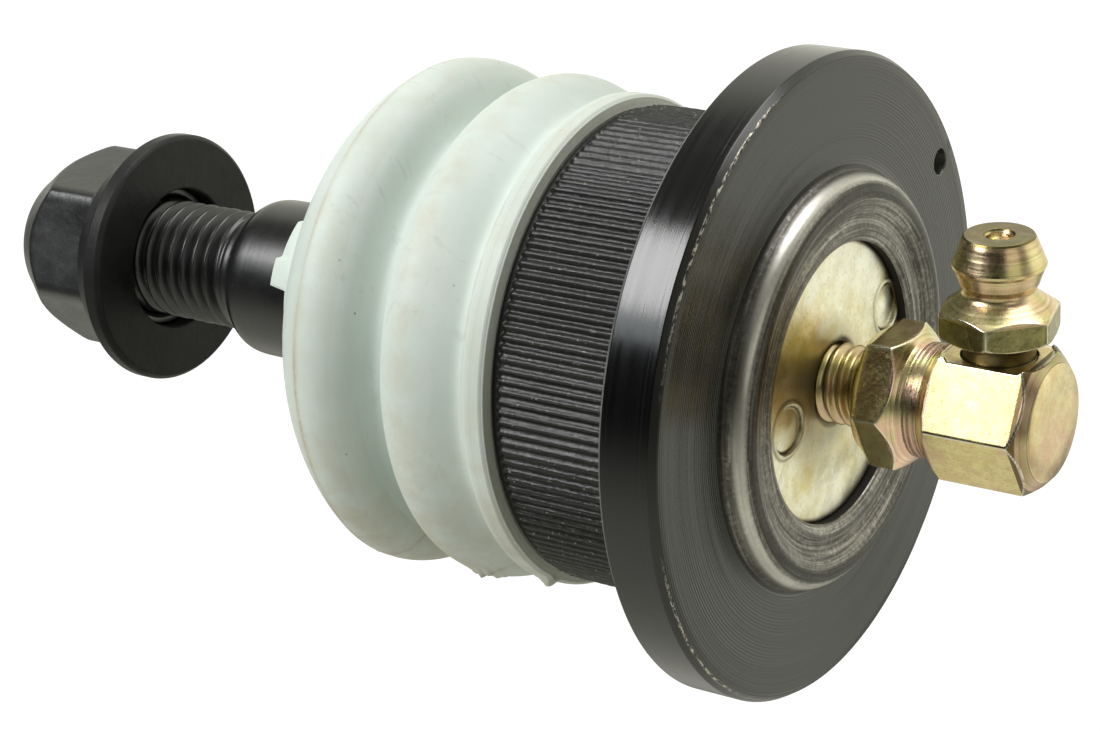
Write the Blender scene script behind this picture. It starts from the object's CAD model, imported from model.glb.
import math
import random

import bmesh
import bpy
import numpy as np
from mathutils import Matrix, Vector


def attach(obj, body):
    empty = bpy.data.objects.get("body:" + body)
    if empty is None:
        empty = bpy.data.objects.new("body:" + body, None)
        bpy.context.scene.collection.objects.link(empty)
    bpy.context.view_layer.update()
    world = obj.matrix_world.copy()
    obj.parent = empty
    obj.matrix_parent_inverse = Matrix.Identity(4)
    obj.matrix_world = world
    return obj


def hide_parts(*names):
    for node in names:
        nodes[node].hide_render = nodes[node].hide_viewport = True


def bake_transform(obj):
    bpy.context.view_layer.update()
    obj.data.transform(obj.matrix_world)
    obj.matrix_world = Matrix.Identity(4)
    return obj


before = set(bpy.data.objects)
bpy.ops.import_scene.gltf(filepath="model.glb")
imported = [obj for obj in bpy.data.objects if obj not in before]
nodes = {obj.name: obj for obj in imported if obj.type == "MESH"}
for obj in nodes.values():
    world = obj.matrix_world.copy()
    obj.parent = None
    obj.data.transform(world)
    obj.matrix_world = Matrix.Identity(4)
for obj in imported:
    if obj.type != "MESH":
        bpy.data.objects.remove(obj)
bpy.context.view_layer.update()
pi = math.pi
MM = 0.001

# Everything below is written in millimetres and scaled on the way into the mesh.
# The frame: origin at the ball's centre, +X from the stud to the grease fitting,
# +Z the way the nipple points. Angles round X run from +Y towards +Z.


# ------------------------------------------------------------------ mesh tools
def polyline(points, n=4, eps=0.03):
    """Section through (x, r) or (x, r, fillet) points, with the corners rounded and a support point just beside each."""
    p = [(q[0], q[1], q[2] if len(q) > 2 else 0.0) for q in points]
    out = [(p[0][0], p[0][1])]
    for i in range(1, len(p) - 1):
        a, b, c = np.array(p[i - 1][:2]), np.array(p[i][:2]), np.array(p[i + 1][:2])
        f = p[i][2]
        la, lc = np.linalg.norm(a - b), np.linalg.norm(c - b)
        ua, uc = (a - b) / la, (c - b) / lc
        cosang = float(np.clip(ua @ uc, -1, 1))
        half = math.acos(cosang) / 2
        if f <= 0 or half > 1.55:
            out.append(tuple(b))
            continue
        t = min(f / math.tan(half), 0.46 * la, 0.46 * lc)
        f = t * math.tan(half)
        mid = (ua + uc) / np.linalg.norm(ua + uc)
        centre = b + mid * (f / math.sin(half))
        s, e = b + ua * t, b + uc * t
        if la - t > 3 * eps:
            out.append(tuple(s + ua * eps))
        a0 = math.atan2(*(s - centre)[::-1])
        a1 = math.atan2(*(e - centre)[::-1])
        d = (a1 - a0 + pi) % (2 * pi) - pi
        for k in range(n + 1):
            g = a0 + d * k / n
            out.append((centre[0] + f * math.cos(g), centre[1] + f * math.sin(g)))
        if lc - t > 3 * eps:
            out.append(tuple(e + uc * eps))
    out.append((p[-1][0], p[-1][1]))
    return np.array(out)


def spline(points, n):
    """Natural cubic spline through the points, chord-length spaced, n points out."""
    p = np.array(points, float)
    t = np.r_[0, np.cumsum(np.linalg.norm(np.diff(p, axis=0), axis=1))]
    m = len(p)
    h = np.diff(t)
    A = np.zeros((m, m))
    B = np.zeros((m, 2))
    A[0, 0] = A[-1, -1] = 1
    for i in range(1, m - 1):
        A[i, i - 1], A[i, i], A[i, i + 1] = h[i - 1], 2 * (h[i - 1] + h[i]), h[i]
        B[i] = 6 * ((p[i + 1] - p[i]) / h[i] - (p[i] - p[i - 1]) / h[i - 1])
    M = np.linalg.solve(A, B)
    u = np.linspace(0, t[-1], n)
    k = np.clip(np.searchsorted(t, u, "right") - 1, 0, m - 2)
    hk, a, b = h[k][:, None], (t[k + 1] - u)[:, None], (u - t[k])[:, None]
    return (M[k] * a**3 + M[k + 1] * b**3) / (6 * hk) + (p[k] / hk - M[k] * hk / 6) * a + (p[k + 1] / hk - M[k + 1] * hk / 6) * b


def fill(section, step):
    """The section with points added so that no run is longer than step."""
    out = [section[0]]
    for a, b in zip(section[:-1], section[1:]):
        k = max(1, int(math.ceil(np.linalg.norm(b - a) / step)))
        out += [a + (b - a) * (i + 1) / k for i in range(k)]
    return np.array(out)


def join(*sections):
    """Sections end to end, without the doubled points."""
    out = [np.array(sections[0], float)]
    for s in sections[1:]:
        s = np.array(s, float)
        out.append(s[1:] if np.linalg.norm(s[0] - out[-1][-1]) < 1e-6 else s)
    return np.vstack(out)


def new_mesh(name, verts, quads, tris=(), slots=None):
    """A mesh object from arrays: quads is (n, 4), tris is (m, 3), slots one material index per face."""
    me = bpy.data.meshes.new(name)
    verts = np.asarray(verts, float)
    quads = np.asarray(quads, np.int64).reshape(-1, 4)
    tris = np.asarray(tris, np.int64).reshape(-1, 3)
    me.vertices.add(len(verts))
    me.vertices.foreach_set("co", (verts * MM).astype(np.float32).ravel())
    loops = np.r_[quads.ravel(), tris.ravel()]
    me.loops.add(len(loops))
    me.loops.foreach_set("vertex_index", loops.astype(np.int32))
    total = np.r_[np.full(len(quads), 4), np.full(len(tris), 3)]
    me.polygons.add(len(total))
    me.polygons.foreach_set("loop_start", np.r_[0, np.cumsum(total)[:-1]].astype(np.int32))
    me.polygons.foreach_set("loop_total", total.astype(np.int32))
    me.polygons.foreach_set("use_smooth", np.ones(len(total), bool))
    if slots is not None:
        me.polygons.foreach_set("material_index", np.asarray(slots, np.int32))
    me.update(calc_edges=True)
    me.validate()
    o = bpy.data.objects.new(name, me)
    bpy.context.scene.collection.objects.link(o)
    return o


def lathe(name, section, segs, closed=True, change=None, zones=None, at=None, materials=()):
    """Turns the section (x, r) round X. change(x, r, angle) may move the points, zones(i) gives ring i's material index.
    at=(x, z) turns round the Z axis through x there instead, with the section's first number as height."""
    section = np.asarray(section, float)
    n = len(section)
    ang = np.arange(segs) * 2 * pi / segs
    X = np.repeat(section[:, :1], segs, 1)
    R = np.repeat(section[:, 1:2], segs, 1)
    A = np.repeat(ang[None, :], n, 0)
    pole0 = not closed and section[0, 1] < 1e-6
    pole1 = not closed and section[-1, 1] < 1e-6
    if change is not None:
        moved = change(X, R, A)
        X, R, A = moved if len(moved) == 3 else (*moved, A)
    if at is None:
        V = np.stack([X, R * np.cos(A), R * np.sin(A)], -1)
    else:
        V = np.stack([at + R * np.cos(A), R * np.sin(A), X], -1)
    V = V.reshape(-1, 3)
    i0 = np.arange(n if closed else n - 1)
    j = np.arange(segs)
    I, J = np.meshgrid(i0, j, indexing="ij")
    I2, J2 = (I + 1) % n, (J + 1) % segs
    a, b, c, d = I * segs + J, I * segs + J2, I2 * segs + J2, I2 * segs + J
    quads = np.stack([a, b, c, d], -1).reshape(-1, 4)
    row = np.repeat(i0, segs)
    tris = np.zeros((0, 3), int)
    slots = np.array([zones(i) for i in i0])[row] if zones else np.zeros(len(quads), int)
    keep = np.ones(len(quads), bool)
    tslots = []
    if pole0:
        keep &= row != 0
        t = np.stack([np.zeros(segs, int), segs + (j + 1) % segs, segs + j], -1)
        tris = np.vstack([tris, t])
        tslots += [zones(0) if zones else 0] * segs
    if pole1:
        keep &= row != n - 2
        base = (n - 2) * segs
        t = np.stack([base + j, base + (j + 1) % segs, np.full(segs, (n - 1) * segs)], -1)
        tris = np.vstack([tris, t])
        tslots += [zones(n - 2) if zones else 0] * segs
    quads, slots = quads[keep], slots[keep]
    used = np.zeros(len(V), bool)
    used[quads.ravel()] = True
    used[tris.ravel()] = True
    place = np.cumsum(used) - 1
    o = new_mesh(name, V[used], place[quads], place[tris], np.r_[slots, tslots] if len(tslots) else slots)
    for m in materials:
        o.data.materials.append(m)
    return o


def smooth_min(a, b, k):
    h = np.clip(0.5 + 0.5 * (b - a) / k, 0, 1)
    return b * (1 - h) + a * h - k * h * (1 - h)


def smooth_step(a, b, x):
    t = np.clip((x - a) / (b - a), 0, 1)
    return t * t * (3 - 2 * t)


def hexagon(angle, across_flats, corner_deg, corner_round=0.12):
    """Distance from the axis to a hexagon's side at each angle, with corners at corner_deg + 60 n, slightly rounded."""
    a = across_flats / 2
    d = (np.degrees(angle) - corner_deg) % 60 - 30
    r = a / np.cos(np.radians(d))
    top = a / math.cos(pi / 6)
    return smooth_min(r, np.full_like(r, top - corner_round), corner_round * 1.6)


def wander(angle, seed, harmonics=5, start=1):
    """Smooth random curve round the circle, about -1 to 1."""
    rnd = random.Random(seed)
    out = np.zeros_like(angle)
    total = 0
    for k in range(start, start + harmonics):
        w = 1.0 / (k - start + 1.5)
        out = out + w * np.sin(k * angle + rnd.uniform(0, 2 * pi))
        total += w
    return out / total


def thread_wave(x, angle, pitch, sharp=0.12):
    """0 on the crest, 1 in the root of a right-hand thread."""
    ph = (x / pitch - angle / (2 * pi)) % 1.0
    t = np.abs(2 * ph - 1)
    return smooth_step(0, 1, np.clip((t - sharp) / (1 - 2 * sharp), 0, 1)) * 0.35 + np.clip((t - sharp) / (1 - 2 * sharp), 0, 1) * 0.65


# -------------------------------------------------------------- material tools
class Shader:
    """A material under construction."""

    def __init__(self, name):
        self.m = bpy.data.materials.new(name)
        self.m.use_nodes = True
        self.t = self.m.node_tree
        self.t.nodes.clear()
        self.out = self.t.nodes.new("ShaderNodeOutputMaterial")
        self.bsdf = self.t.nodes.new("ShaderNodeBsdfPrincipled")
        self.t.links.new(self.bsdf.outputs[0], self.out.inputs[0])
        c = self.t.nodes.new("ShaderNodeTexCoord")
        self.coord, self.normal = c.outputs["Object"], c.outputs["Normal"]

    def set(self, **kw):
        for k, v in kw.items():
            self.put(self.bsdf.inputs[k.replace("_", " ")], v)
        return self

    def put(self, socket, v):
        if isinstance(v, bpy.types.NodeSocket):
            self.t.links.new(v, socket)
        elif isinstance(v, (tuple, list)) and len(v) == 3 and socket.type == "RGBA":
            socket.default_value = (*v, 1)
        else:
            socket.default_value = v

    def math(self, op, a, b=None, c=None, clamp=False):
        n = self.t.nodes.new("ShaderNodeMath")
        n.operation, n.use_clamp = op, clamp
        for s, v in zip(n.inputs, (a, b, c)):
            if v is not None:
                self.put(s, v)
        return n.outputs[0]

    def vec(self, op, a, b=None):
        n = self.t.nodes.new("ShaderNodeVectorMath")
        n.operation = op
        self.put(n.inputs[0], a)
        if b is not None:
            self.put(n.inputs[1], b)
        return n.outputs["Value"] if op in ("LENGTH", "DOT_PRODUCT") else n.outputs[0]

    def split(self, v):
        n = self.t.nodes.new("ShaderNodeSeparateXYZ")
        self.put(n.inputs[0], v)
        return n.outputs

    def pack(self, x, y, z):
        n = self.t.nodes.new("ShaderNodeCombineXYZ")
        for s, v in zip(n.inputs, (x, y, z)):
            self.put(s, v)
        return n.outputs[0]

    def noise(self, scale, detail=3.0, rough=0.55, coord=None, w=None):
        n = self.t.nodes.new("ShaderNodeTexNoise")
        if w is not None:
            n.noise_dimensions = "1D"
            self.put(n.inputs["W"], w)
        else:
            self.put(n.inputs["Vector"], coord or self.coord)
        n.inputs["Scale"].default_value = scale
        n.inputs["Detail"].default_value = detail
        n.inputs["Roughness"].default_value = rough
        return n.outputs["Fac"]

    def cells(self, scale, coord=None):
        n = self.t.nodes.new("ShaderNodeTexVoronoi")
        self.put(n.inputs["Vector"], coord or self.coord)
        n.inputs["Scale"].default_value = scale
        return n.outputs["Distance"]

    def span(self, v, a, b, lo=0.0, hi=1.0):
        """v from a..b to lo..hi, clamped."""
        n = self.t.nodes.new("ShaderNodeMapRange")
        n.clamp = True
        self.put(n.inputs["Value"], v)
        n.inputs["From Min"].default_value, n.inputs["From Max"].default_value = a, b
        n.inputs["To Min"].default_value, n.inputs["To Max"].default_value = lo, hi
        return n.outputs[0]

    def ease(self, v, a, b):
        n = self.t.nodes.new("ShaderNodeMapRange")
        n.clamp, n.interpolation_type = True, "SMOOTHSTEP"
        self.put(n.inputs["Value"], v)
        n.inputs["From Min"].default_value, n.inputs["From Max"].default_value = a, b
        return n.outputs[0]

    def mix(self, f, a, b):
        n = self.t.nodes.new("ShaderNodeMix")
        n.data_type = "RGBA"
        self.put(n.inputs["Factor"], f)
        self.put(n.inputs[6], a)
        self.put(n.inputs[7], b)
        return n.outputs[2]

    def bump(self, height, strength, distance, before=None):
        n = self.t.nodes.new("ShaderNodeBump")
        self.put(n.inputs["Height"], height)
        n.inputs["Strength"].default_value = strength
        n.inputs["Distance"].default_value = distance
        if before is not None:
            self.put(n.inputs["Normal"], before)
        return n.outputs[0]

    def axis_radius(self, coord=None):
        """Distance from the X axis, in metres."""
        s = self.split(coord or self.coord)
        return self.math("SQRT", self.math("ADD", self.math("MULTIPLY", s[1], s[1]), self.math("MULTIPLY", s[2], s[2])))


# ------------------------------------------------------------------- materials
def black_face():
    """Turned flange face: satin black with fine concentric tool marks."""
    s = Shader("black_turned_face")
    r = s.axis_radius()
    rings = s.noise(5200, 2.0, 0.6, w=r)
    wide = s.noise(420, 3.0, 0.5, w=r)
    cloud = s.noise(70, 4.0, 0.6)
    base = s.mix(s.span(cloud, 0.35, 0.7), (0.0020, 0.0021, 0.0017), (0.0040, 0.0041, 0.0034))
    base = s.mix(s.span(rings, 0.55, 0.8, 0, 0.25), base, (0.024, 0.025, 0.021))
    # light scuffs near the rim
    dust = s.math("GREATER_THAN", s.noise(2600, 2.0), 0.735)
    base = s.mix(s.math("MULTIPLY", dust, 0.10), base, (0.30, 0.30, 0.28))
    rough = s.math("ADD", s.span(wide, 0.3, 0.7, 0.23, 0.27), s.span(rings, 0.3, 0.7, -0.02, 0.02))
    # the feed of the lathe, a quarter of a millimetre a turn, deeper in some bands than in others
    feed = s.math("ADD", 0.5, s.math("MULTIPLY", 0.5, s.math("SINE", s.math("MULTIPLY", r, 2 * pi / 0.000245))))
    some = s.span(s.noise(650, 2.0, 0.6, w=r), 0.38, 0.62, 0.25, 1.0)
    feed = s.math("MULTIPLY", feed, some)
    base = s.mix(s.math("MULTIPLY", feed, 0.6), base, (0.0165, 0.0172, 0.0145))
    # every third or fourth groove was cut a little deeper
    deep = s.noise(3600, 1.0, 0.5, w=r)
    n = s.bump(rings, 0.60, 0.00002)
    n = s.bump(feed, 0.55, 0.00003, n)
    n = s.bump(s.span(deep, 0.58, 0.72), 0.22, 0.00003, n)
    n = s.bump(s.noise(1500, 3.0), 0.06, 0.00002, n)
    # the grooves spread reflections across themselves, so the gloss is drawn out along the radius
    tangent = s.t.nodes.new("ShaderNodeTangent")
    tangent.direction_type, tangent.axis = "RADIAL", "X"
    s.set(Base_Color=base, Roughness=rough, Normal=n)
    s.t.links.new(tangent.outputs[0], s.bsdf.inputs["Tangent"])
    s.bsdf.inputs["Anisotropic"].default_value = 0.7
    s.bsdf.inputs["Anisotropic Rotation"].default_value = 0.25
    s.bsdf.inputs["Specular IOR Level"].default_value = 0.62
    return s.m


def black_rim():
    """Turned rim: glossier black with lines running round it."""
    s = Shader("black_turned_rim")
    x = s.split(s.coord)[0]
    lines = s.noise(7000, 2.0, 0.7, w=x)
    wide = s.noise(900, 2.0, 0.5, w=x)
    cloud = s.noise(90, 3.0)
    base = s.mix(s.span(cloud, 0.35, 0.7), (0.0016, 0.0016, 0.0020), (0.0035, 0.0035, 0.0038))
    base = s.mix(s.span(lines, 0.58, 0.8, 0, 0.2), base, (0.03, 0.031, 0.032))
    rough = s.math("ADD", s.span(wide, 0.3, 0.7, 0.10, 0.16), s.span(lines, 0.3, 0.7, 0.0, 0.06))
    n = s.bump(lines, 0.30, 0.00002)
    s.set(Base_Color=base, Roughness=rough, Normal=n)
    s.bsdf.inputs["Specular IOR Level"].default_value = 0.58
    return s.m


def black_chamfer():
    """Chamfer between face and rim, with bare steel where the edge has been knocked."""
    s = Shader("black_chamfer_edge")
    r = s.axis_radius()
    c = s.split(s.coord)
    edge = s.math("MULTIPLY", s.ease(r, 0.023835, 0.02379), s.ease(r, 0.02366, 0.02369))
    # knocked most along two stretches of the edge
    where = s.math("ARCTAN2", c[2], c[1])
    chips = s.span(s.noise(1.0, 4.0, 0.7, coord=s.pack(s.math("MULTIPLY", r, 9000.0), s.math("MULTIPLY", where, 42.0), 0.0)), 0.47, 0.58)
    upper = s.math("MULTIPLY", s.ease(where, 1.75, 1.95), s.ease(where, 2.75, 2.45))
    lower = s.math("MULTIPLY", s.ease(where, -3.02, -2.8), s.ease(where, -2.0, -2.4))
    place = s.math("ADD", s.math("ADD", upper, lower), s.span(s.noise(60, 2.0), 0.52, 0.66, 0, 0.5), clamp=True)
    worn = s.math("MULTIPLY", s.math("MULTIPLY", chips, place), edge)
    base = s.mix(worn, (0.010, 0.010, 0.009), (0.60, 0.56, 0.48))
    s.set(Base_Color=base, Roughness=s.mix(worn, (0.28,) * 3, (0.4,) * 3), Metallic=worn, Normal=s.bump(s.noise(1800, 3.0), 0.25, 0.00003))
    return s.m


def black_knurl():
    """Straight knurl: black with rolled, speckled crests."""
    s = Shader("black_knurl")
    r = s.axis_radius()
    crest = s.ease(r, 0.01808, 0.01827)
    speck = s.noise(2300, 4.0, 0.7)
    glint = s.math("MULTIPLY", crest, s.span(s.noise(3300, 2.0, 0.6), 0.64, 0.70))
    base = s.mix(s.noise(300, 3.0), (0.003, 0.003, 0.003), (0.009, 0.009, 0.008))
    base = s.mix(s.math("MULTIPLY", crest, 0.5), base, (0.016, 0.016, 0.014))
    base = s.mix(s.math("MULTIPLY", glint, 0.8), base, (0.34, 0.32, 0.27))
    s.set(Base_Color=base, Roughness=s.span(speck, 0.3, 0.7, 0.44, 0.26), Normal=s.bump(speck, 0.75, 0.00009))
    s.bsdf.inputs["Specular IOR Level"].default_value = 0.58
    return s.m


def burnished():
    """Rolled lip: bare steel burnished by the roller, with brown-grey bands."""
    s = Shader("burnished_lip")
    r = s.axis_radius()
    c = s.split(s.coord)
    fine = s.noise(9000, 2.0, 0.6, w=r)
    band = s.noise(900, 3.0, 0.6, w=r)
    cloud = s.noise(160, 5.0, 0.65)
    base = s.mix(s.span(band, 0.3, 0.7), (0.135, 0.129, 0.114), (0.40, 0.385, 0.345))
    base = s.mix(s.span(cloud, 0.35, 0.68, 0, 0.6), base, (0.070, 0.061, 0.050))
    base = s.mix(s.span(fine, 0.55, 0.75, 0, 0.35), base, (0.50, 0.49, 0.45))
    spot = s.span(s.noise(2100, 3.0), 0.66, 0.72)
    base = s.mix(s.math("MULTIPLY", spot, 0.6), base, (0.03, 0.028, 0.026))
    # soot-dark in the fold between the two ridges and where the lip leaves the face; streaked along the rolling direction
    where = s.math("ARCTAN2", c[2], c[1])
    streak = s.noise(1.0, 3.0, 0.6, coord=s.pack(s.math("MULTIPLY", r, 5600.0), s.math("MULTIPLY", where, 1.3), 0.0))
    grain = s.noise(2900, 4.0, 0.7)
    base = s.mix(s.span(streak, 0.46, 0.62, 0, 0.75), base, (0.050, 0.046, 0.040))
    base = s.mix(s.span(streak, 0.44, 0.34, 0, 0.5), base, (0.50, 0.49, 0.44))
    base = s.mix(s.span(grain, 0.50, 0.62, 0, 0.38), base, (0.040, 0.036, 0.032))
    base = s.mix(s.span(grain, 0.44, 0.34, 0, 0.30), base, (0.60, 0.58, 0.52))
    fold = s.math("MULTIPLY", s.ease(r, 0.01355, 0.0140), s.ease(r, 0.0149, 0.0145))
    root = s.ease(r, 0.01552, 0.01578)
    base = s.mix(s.math("MULTIPLY", fold, 0.75), base, (0.030, 0.028, 0.025))
    bead = s.math("MULTIPLY", s.ease(r, 0.0148, 0.0151), s.ease(r, 0.01552, 0.01535))
    base = s.mix(s.math("MULTIPLY", bead, 0.58), base, (0.72, 0.70, 0.64))
    base = s.mix(s.math("MULTIPLY", root, 0.88), base, (0.012, 0.012, 0.011))
    rough = s.math("ADD", s.span(cloud, 0.3, 0.7, 0.26, 0.36), s.span(streak, 0.3, 0.7, 0.0, 0.10))
    n = s.bump(fine, 0.40, 0.00002)
    n = s.bump(streak, 0.30, 0.00003, n)
    n = s.bump(grain, 0.16, 0.00002, n)
    s.set(Base_Color=base, Metallic=0.92, Roughness=rough, Normal=n)
    return s.m


def zinc_plate():
    """Cover plate: zinc with a pale, blotchy yellow passivate."""
    s = Shader("pale_yellow_zinc")
    blot = s.noise(430, 6.0, 0.68)
    big = s.noise(110, 4.0, 0.6)
    grit = s.noise(3300, 3.0, 0.6)
    base = s.mix(s.span(blot, 0.40, 0.60), (0.70, 0.61, 0.31), (0.97, 0.96, 0.80))
    base = s.mix(s.span(big, 0.47, 0.64, 0, 0.6), base, (0.72, 0.59, 0.27))
    base = s.mix(s.span(big, 0.53, 0.34, 0, 0.55), base, (0.95, 0.97, 0.90))
    base = s.mix(s.span(grit, 0.58, 0.70, 0, 0.3), base, (0.34, 0.27, 0.13))
    p = s.t.nodes.new("ShaderNodeAttribute")
    p.attribute_name = "grime"
    base = s.mix(s.math("MULTIPLY", p.outputs["Fac"], s.span(blot, 0.3, 0.65, 0.95, 1.5), clamp=True), base, (0.06, 0.042, 0.014))
    rough = s.math("ADD", s.span(blot, 0.3, 0.7, 0.24, 0.38), s.span(grit, 0.3, 0.7, 0.0, 0.08))
    n = s.bump(blot, 0.18, 0.00008)
    n = s.bump(grit, 0.20, 0.00003, n)
    s.set(Base_Color=base, Metallic=0.95, Roughness=rough, Normal=n)
    return s.m


def worn_edge(s, base):
    """Edges where the film has rubbed off, from the mesh's wear attribute."""
    w = s.t.nodes.new("ShaderNodeAttribute")
    w.attribute_name = "wear"
    return s.mix(s.math("MULTIPLY", w.outputs["Fac"], s.span(s.noise(900, 3.0, 0.6), 0.30, 0.55, 0.25, 1.0)), base, (0.93, 0.90, 0.80))


def dichromate(name, along, dark=0.0, rough_lo=0.14, rough_hi=0.30, pink=1.0, bands=0.0, fine_bands=0.0):
    """Yellow dichromate zinc on a turned fitting: gold with pink and green interference bands and fine tool marks.
    along is 0 for parts turned round X and 2 for parts turned round Z."""
    s = Shader(name)
    c = s.split(s.coord)
    n3 = s.split(s.normal)
    lines = s.noise(4200, 3.0, 0.7, w=c[along])
    film = s.noise(330, 3.0, 0.6)
    film2 = s.noise(520, 4.0, 0.6)
    fine = s.noise(3200, 4.0, 0.7)
    base = s.mix(s.span(film2, 0.3, 0.7), (0.62, 0.51, 0.21), (0.84, 0.74, 0.42))
    # the film is thinner, so pinker, on surfaces that drained downwards and in bands
    low = s.span(n3[2], 0.15, -0.75)
    p = s.math("MULTIPLY", s.math("ADD", s.span(film, 0.46, 0.60), low, clamp=True), 0.62 * pink)
    base = s.mix(p, base, (0.86, 0.47, 0.42))
    g = s.math("MULTIPLY", s.span(film, 0.47, 0.36), 0.55 * pink)
    base = s.mix(g, base, (0.50, 0.58, 0.20))
    base = s.mix(s.span(lines, 0.58, 0.78, 0, 0.45), base, (0.95, 0.88, 0.64))
    base = s.mix(s.span(lines, 0.42, 0.26, 0, 0.6), base, (0.20, 0.15, 0.06))
    if bands:
        base = s.mix(s.span(s.noise(1500, 2.0, 0.6, w=c[along]), 0.44, 0.58, 0, bands), base, (0.12, 0.085, 0.03))
    if fine_bands:
        base = s.mix(s.span(s.noise(5600, 2.0, 0.6, w=c[along]), 0.50, 0.62, 0, fine_bands), base, (0.15, 0.11, 0.04))
    if dark:
        base = s.mix(dark, base, (0.10, 0.075, 0.035) if dark < 0.9 else (0.012, 0.009, 0.004))
    base = worn_edge(s, base)
    rough = s.math("ADD", s.span(film2, 0.3, 0.7, rough_lo, rough_hi), s.span(fine, 0.3, 0.7, 0.0, 0.10))
    n = s.bump(lines, 0.30, 0.00003)
    n = s.bump(fine, 0.14, 0.00002, n)
    s.set(Base_Color=base, Metallic=1.0, Roughness=rough, Normal=n)
    return s.m


def dichromate_flat(name, coat=(0.66, 0.55, 0.29), scratch=0.5, rough_lo=0.16, rough_hi=0.28, mottle=0.5, pits=0.0, pink=0.45):
    """Drawn hexagon flats of the same fittings: no tool marks, but small pits and scratches."""
    s = Shader(name)
    film2 = s.noise(430, 4.0, 0.6)
    fine = s.noise(3600, 4.0, 0.75)
    c = s.split(s.coord)
    drawn = s.noise(900, 3.0, 0.6, coord=s.pack(s.math("MULTIPLY", c[0], 0.12), c[1], c[2]))
    base = s.mix(s.span(film2, 0.3, 0.7), coat, tuple(min(1, 1.25 * v) for v in coat))
    base = s.mix(s.span(s.noise(190, 3.0), 0.48, 0.64, 0, pink), base, tuple(v * coat[0] / 0.66 for v in (0.78, 0.50, 0.36)))
    base = s.mix(s.span(s.noise(800, 4.0, 0.7), 0.46, 0.60, 0, 0.5 * mottle), base, tuple(min(1, 2.1 * v) for v in coat))
    base = s.mix(s.span(fine, 0.56, 0.68, 0, scratch), base, (0.18, 0.13, 0.06))
    base = s.mix(s.span(drawn, 0.60, 0.72, 0, 0.3), base, (0.92, 0.86, 0.66))
    base = worn_edge(s, base)
    n = s.bump(fine, 0.30 * scratch + 0.04, 0.00004)
    n = s.bump(drawn, 0.10, 0.00003, n)
    if pits:
        n = s.bump(s.noise(2000, 3.0, 0.6), pits, 0.00012, n)
    s.set(Base_Color=base, Metallic=1.0, Roughness=s.span(film2, 0.3, 0.7, rough_lo, rough_hi), Normal=n)
    return s.m


def stud_black(name, rough_lo, rough_hi, lines=0.15, level=0.7):
    s = Shader(name)
    c = s.split(s.coord)
    l = s.noise(3000, 3.0, 0.6, w=c[0])
    cloud = s.noise(240, 4.0, 0.6)
    fine = s.noise(2500, 4.0, 0.7)
    base = s.mix(s.span(cloud, 0.3, 0.7), (0.004, 0.004, 0.0045), (0.009, 0.009, 0.0095))
    base = s.mix(s.span(fine, 0.64, 0.74, 0, 0.25), base, (0.09, 0.09, 0.09))
    n = s.bump(l, lines, 0.00003)
    n = s.bump(fine, 0.12, 0.00003, n)
    s.set(Base_Color=base, Roughness=s.span(cloud, 0.3, 0.7, rough_lo, rough_hi), Normal=n)
    s.bsdf.inputs["Specular IOR Level"].default_value = level
    return s.m


def phosphate(name, tone=1.0, level=0.7, rubbed=False):
    """Nut and washer: dull black phosphate, rubbed lighter on the edges it was handled by."""
    s = Shader(name)
    cloud = s.noise(330, 5.0, 0.65)
    fine = s.noise(2800, 4.0, 0.7)
    rub = s.noise(150, 3.0, 0.5)
    base = s.mix(s.span(cloud, 0.3, 0.7), (0.005 * tone, 0.0052 * tone, 0.0052 * tone), (0.012 * tone, 0.0125 * tone, 0.0125 * tone))
    base = s.mix(s.span(rub, 0.55, 0.75, 0, 0.1 if rubbed else 0.4), base, (0.026, 0.027, 0.027))
    base = s.mix(s.span(fine, 0.62, 0.74, 0, 0.22), base, (0.08, 0.08, 0.08))
    if rubbed:
        # one side still holds its oil and stays blacker
        z = s.split(s.coord)[2]
        dry = s.math("ADD", s.span(z, -0.007, 0.008), s.span(rub, 0.35, 0.65, -0.25, 0.25), clamp=True)
        base = s.mix(s.math("MULTIPLY", dry, 0.75), base, (0.030, 0.031, 0.030))
    n = s.bump(cloud, 0.30, 0.00012)
    n = s.bump(s.noise(750, 3.0, 0.6), 0.35, 0.00012, n)
    n = s.bump(fine, 0.20, 0.00003, n)
    s.set(Base_Color=base, Roughness=s.span(cloud, 0.3, 0.7, 0.30, 0.44), Normal=n)
    s.bsdf.inputs["Specular IOR Level"].default_value = level
    return s.m


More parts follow.
